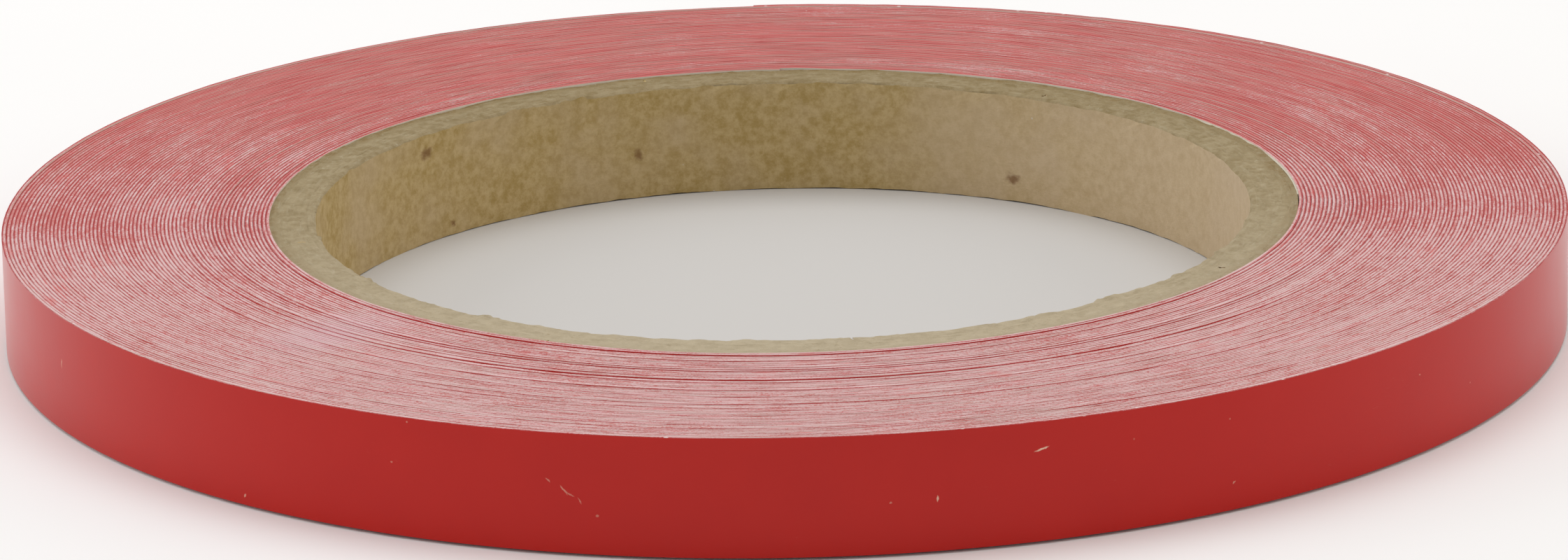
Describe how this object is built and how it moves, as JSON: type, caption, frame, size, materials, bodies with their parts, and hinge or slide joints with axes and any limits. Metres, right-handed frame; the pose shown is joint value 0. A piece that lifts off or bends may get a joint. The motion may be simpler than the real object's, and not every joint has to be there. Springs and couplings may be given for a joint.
{
  "type": "roll of sign vinyl",
  "caption": "Narrow slit roll of red self-adhesive sign vinyl on its release liner, wound on a short paperboard core; the loose end unrolls and its film peels back.",
  "frame": {"origin": "on the winding axis, in the plane that the roll rests on", "axes": "+Z along the winding axis, upwards from the plane that the roll rests on; +X to the right of the front view, which looks along +Y; the last full turn ends on +X, and the tail runs on from there towards +Y"},
  "size_m": [0.1268, 0.127, 0.0097],
  "materials": {
    "core_board": "rough brown paperboard, fibrous where it is cut",
    "tissue_tape": "dull double-sided tissue tape",
    "liner_paper": "smooth pale siliconed paper",
    "adhesive": "clear tacky acrylic coat",
    "red_film": "semi-gloss red vinyl",
    "clear_tape": "clear packing tape"
  },
  "bodies": {
    "roll": {"core_ply_1": "core_board", "core_ply_2": "core_board", "core_ply_3": "core_board", "core_ply_4": "core_board", "core_ply_5": "core_board", "core_ply_6": "core_board", "core_start_tape": "tissue_tape", "liner_winding": "liner_paper", "adhesive_winding": "adhesive", "film_winding": "red_film"},
    "tail_1": {"liner_tail_1": "liner_paper", "adhesive_tail_1": "adhesive", "film_tail_1": "red_film"},
    "tail_2": {"liner_tail_2": "liner_paper", "adhesive_tail_2": "adhesive", "film_tail_2": "red_film"},
    "tail_3": {"liner_tail_3": "liner_paper", "adhesive_tail_3": "adhesive", "film_tail_3": "red_film"},
    "tail_4": {"liner_tail_4": "liner_paper", "adhesive_tail_4": "adhesive", "film_tail_4": "red_film"},
    "tail_5": {"liner_tail_5": "liner_paper", "adhesive_tail_5": "adhesive", "film_tail_5": "red_film"},
    "tail_6": {"liner_tail_6": "liner_paper", "adhesive_tail_6": "adhesive", "film_tail_6": "red_film"},
    "flap_1": {"adhesive_flap_1": "adhesive", "film_flap_1": "red_film"},
    "flap_2": {"adhesive_flap_2": "adhesive", "film_flap_2": "red_film"},
    "flap_3": {"adhesive_flap_3": "adhesive", "film_flap_3": "red_film"},
    "flap_4": {"adhesive_flap_4": "adhesive", "film_flap_4": "red_film", "end_tape": "clear_tape"}
  },
  "joints": [
    {"name": "unroll_1", "type": "hinge", "parent": "roll", "child": "tail_1", "pos_m": [0.06356, 0, 0.00491], "axis": [0, 0, -1], "range_deg": [0, 12]},
    {"name": "unroll_2", "type": "hinge", "parent": "tail_1", "child": "tail_2", "pos_m": [0.06217, 0.01321, 0.00491], "axis": [0, 0, -1], "range_deg": [0, 12]},
    {"name": "unroll_3", "type": "hinge", "parent": "tail_2", "child": "tail_3", "pos_m": [0.05806, 0.02585, 0.00491], "axis": [0, 0, -1], "range_deg": [0, 12]},
    {"name": "unroll_4", "type": "hinge", "parent": "tail_3", "child": "tail_4", "pos_m": [0.05142, 0.03736, 0.00491], "axis": [0, 0, -1], "range_deg": [0, 12]},
    {"name": "unroll_5", "type": "hinge", "parent": "tail_4", "child": "tail_5", "pos_m": [0.04253, 0.04723, 0.00491], "axis": [0, 0, -1], "range_deg": [0, 12]},
    {"name": "unroll_6", "type": "hinge", "parent": "tail_5", "child": "tail_6", "pos_m": [0.03178, 0.05504, 0.00491], "axis": [0, 0, -1], "range_deg": [0, 12]},
    {"name": "peel_1", "type": "hinge", "parent": "tail_6", "child": "flap_1", "pos_m": [0.01965, 0.06047, 0.00491], "axis": [0, 0, -1], "range_deg": [0, 40]},
    {"name": "peel_2", "type": "hinge", "parent": "flap_1", "child": "flap_2", "pos_m": [0.0143, 0.06195, 0.00491], "axis": [0, 0, -1], "range_deg": [0, 40]},
    {"name": "peel_3", "type": "hinge", "parent": "flap_2", "child": "flap_3", "pos_m": [0.00885, 0.06296, 0.00491], "axis": [0, 0, -1], "range_deg": [0, 40]},
    {"name": "peel_4", "type": "hinge", "parent": "flap_3", "child": "flap_4", "pos_m": [0.00333, 0.06349, 0.00491], "axis": [0, 0, -1], "range_deg": [0, 40]}
  ],
  "couplings": [
    {"joint": "unroll_2", "follows": "unroll_1", "ratio": 1},
    {"joint": "unroll_3", "follows": "unroll_1", "ratio": 1},
    {"joint": "unroll_4", "follows": "unroll_1", "ratio": 1},
    {"joint": "unroll_5", "follows": "unroll_1", "ratio": 1},
    {"joint": "unroll_6", "follows": "unroll_1", "ratio": 1},
    {"joint": "peel_2", "follows": "peel_1", "ratio": 1},
    {"joint": "peel_3", "follows": "peel_1", "ratio": 1},
    {"joint": "peel_4", "follows": "peel_1", "ratio": 1}
  ]
}
